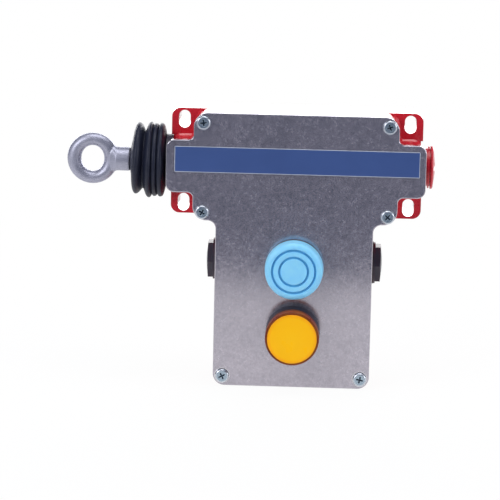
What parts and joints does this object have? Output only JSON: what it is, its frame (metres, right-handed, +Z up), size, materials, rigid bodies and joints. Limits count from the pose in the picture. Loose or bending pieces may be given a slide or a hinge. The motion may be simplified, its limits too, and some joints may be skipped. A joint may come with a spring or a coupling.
{
  "type": "rope pull switch",
  "caption": "Safety rope pull switch: T-shaped cast casing with slotted lugs, metal cover, eyebolt on a bellows-sealed pull rod, booted reset button, pilot light and trip mechanism.",
  "frame": {"origin": "on the flat rear mounting face, midway between the four mounting slots, on the line of the rope", "axes": "+X to the right along the rope, away from the eyebolt; +Z up; the cover and the operators face -Y"},
  "size_m": [0.2013, 0.0617, 0.1504],
  "materials": {
    "red_casting": "semi-gloss powder coat on die casting",
    "cover_metal": "bare cast light-alloy, matt, fine grained",
    "black_rubber": "matt",
    "zinc_screws": "bright zinc plated",
    "zinc_steel": "zinc plated",
    "blue_label": "printed strip with a pale border line",
    "galvanised_steel": "galvanised drop forging",
    "bright_steel": "turned",
    "spring_steel": "spring wire",
    "bronze": "turned",
    "bellows_rubber": "satin moulded rubber",
    "black_plastic": "moulded",
    "red_plastic": "moulded",
    "white_plastic": "moulded",
    "grey_plastic": "moulded",
    "blue_plastic": "moulded",
    "blue_boot": "satin silicone",
    "amber_lens": "translucent moulded lens",
    "lamp_glass": "frosted"
  },
  "bodies": {
    "casing": {"housing": "red_casting", "cover_plate": "cover_metal", "cover_gasket": "black_rubber", "cover_screws": "zinc_screws", "label_strip": "blue_label", "rod_spring": "spring_steel", "rod_bush_left": "bronze", "rod_bush_right": "bronze", "bellows": "bellows_rubber", "bellows_collar": "black_plastic", "end_cap": "red_plastic", "cable_plug_left": "black_plastic", "cable_plug_right": "black_plastic", "plug_washers": "black_rubber", "mechanism_plate": "zinc_steel", "plate_screws": "zinc_steel", "lever_pin": "bright_steel", "contact_block_left": "grey_plastic", "contact_block_right": "grey_plastic", "terminal_screws": "bronze", "block_screws": "zinc_steel", "earth_screw": "bronze", "reset_collar": "black_plastic", "reset_nut": "black_plastic", "reset_spring": "spring_steel", "reset_boot": "blue_boot", "lens_bezel": "black_plastic", "lens_nut": "black_plastic", "lens": "amber_lens", "lamp_holder": "grey_plastic", "lamp": "lamp_glass"},
    "pull_rod": {"eyebolt": "galvanised_steel", "eyebolt_nut": "zinc_steel", "pull_rod": "bright_steel", "cam_spool": "bright_steel", "spring_seat": "bright_steel", "rod_circlip": "spring_steel"},
    "trip_lever": {"trip_lever": "zinc_steel", "lever_roller": "white_plastic"},
    "contact_slider": {"contact_slider": "white_plastic"},
    "reset_button": {"reset_plunger": "blue_plastic", "reset_clip": "spring_steel"}
  },
  "joints": [
    {"name": "rope_pull", "type": "slide", "parent": "casing", "child": "pull_rod", "axis": [-1, 0, 0], "range_m": [0, 0.012], "stiffness_N_per_m": 2500, "deforming": ["bellows", "rod_spring"]},
    {"name": "lever_swing", "type": "hinge", "parent": "casing", "child": "trip_lever", "pos_m": [0.0005, -0.012, -0.0394], "axis": [0, -1, 0], "range_deg": [0, 23.2]},
    {"name": "contact_slide", "type": "slide", "parent": "casing", "child": "contact_slider", "axis": [1, 0, 0], "range_m": [0, 0.0049]},
    {"name": "reset_press", "type": "slide", "parent": "casing", "child": "reset_button", "axis": [0, 1, 0], "range_m": [0, 0.004], "stiffness_N_per_m": 1200, "deforming": ["reset_boot", "reset_spring"]}
  ],
  "couplings": [
    {"joint": "lever_swing", "follows": "rope_pull", "rad_per_m": 33.564},
    {"joint": "contact_slide", "follows": "rope_pull", "ratio": 0.4}
  ]
}
